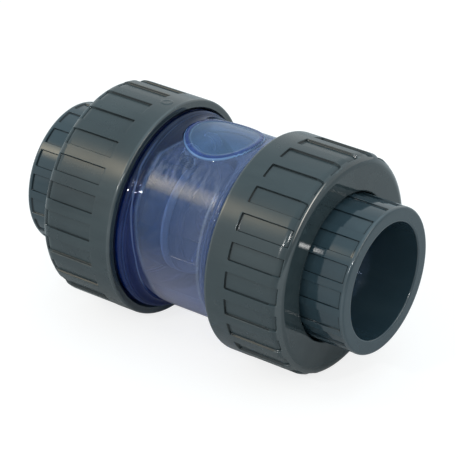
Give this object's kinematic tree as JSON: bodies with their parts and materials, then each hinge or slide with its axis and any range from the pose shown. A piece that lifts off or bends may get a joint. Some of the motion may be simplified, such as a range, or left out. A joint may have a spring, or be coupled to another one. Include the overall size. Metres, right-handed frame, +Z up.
{
  "type": "swing check valve",
  "caption": "Inline swing check valve with a clear body, a hinged flap that swings open with the flow, two ribbed union nuts and a pipe socket at each end.",
  "frame": {"origin": "on the pipe axis, midway between the two socket mouths", "axes": "+X along the pipe axis in the flow direction, from inlet to outlet; +Z up, towards the flap's hinge"},
  "size_m": [0.161, 0.095, 0.095],
  "materials": {
    "clear_body": "clear blue-tinted rigid PVC, polished",
    "dark_grey_pvc": "injection-moulded dark grey PVC, semi-gloss",
    "dark_grey_pvc_ends": "injection-moulded dark grey PVC, semi-gloss",
    "black_epdm": "smooth black EPDM",
    "clear_internal": "clear blue-tinted rigid PVC",
    "pale_silicone": "translucent pale silicone",
    "stainless": "turned stainless steel",
    "white_ptfe": "white PTFE"
  },
  "bodies": {
    "valve": {"valve_body": "clear_body", "seat_carrier": "clear_internal", "carrier_oring": "black_epdm", "face_oring_inlet": "black_epdm", "face_oring_outlet": "black_epdm", "hinge_bush_front": "white_ptfe", "hinge_bush_rear": "white_ptfe"},
    "flap": {"flap_disc": "clear_internal", "flap_seal": "pale_silicone", "seal_retainer": "clear_internal", "retainer_screw": "stainless", "retainer_washer": "stainless", "retainer_nut": "stainless", "hinge_pin": "stainless", "pin_clip_front": "stainless", "pin_clip_rear": "stainless", "hinge_spacers": "white_ptfe", "stop_bumper": "pale_silicone"},
    "outlet_end": {"end_connector_outlet": "dark_grey_pvc_ends"},
    "outlet_nut": {"union_nut_outlet": "dark_grey_pvc"},
    "inlet_end": {"end_connector_inlet": "dark_grey_pvc_ends"},
    "inlet_nut": {"union_nut_inlet": "dark_grey_pvc"}
  },
  "joints": [
    {"name": "flap_swing", "type": "hinge", "parent": "valve", "child": "flap", "pos_m": [-0.0105, 0, 0.03], "axis": [0, -1, 0], "range_deg": [0, 68]},
    {"name": "outlet_union_slide", "type": "slide", "parent": "valve", "child": "outlet_end", "axis": [1, 0, 0], "range_m": [0, 0.02]},
    {"name": "outlet_nut_turn", "type": "hinge", "parent": "outlet_end", "child": "outlet_nut", "pos_m": [0.04, 0, 0], "axis": [1, 0, 0], "range_deg": [0, 1200]},
    {"name": "inlet_union_slide", "type": "slide", "parent": "valve", "child": "inlet_end", "axis": [-1, 0, 0], "range_m": [0, 0.02]},
    {"name": "inlet_nut_turn", "type": "hinge", "parent": "inlet_end", "child": "inlet_nut", "pos_m": [-0.04, 0, 0], "axis": [-1, 0, 0], "range_deg": [0, 1200]}
  ],
  "couplings": [
    {"joint": "outlet_union_slide", "follows": "outlet_nut_turn", "m_per_rad": 0.00095493},
    {"joint": "inlet_union_slide", "follows": "inlet_nut_turn", "m_per_rad": 0.00095493}
  ]
}
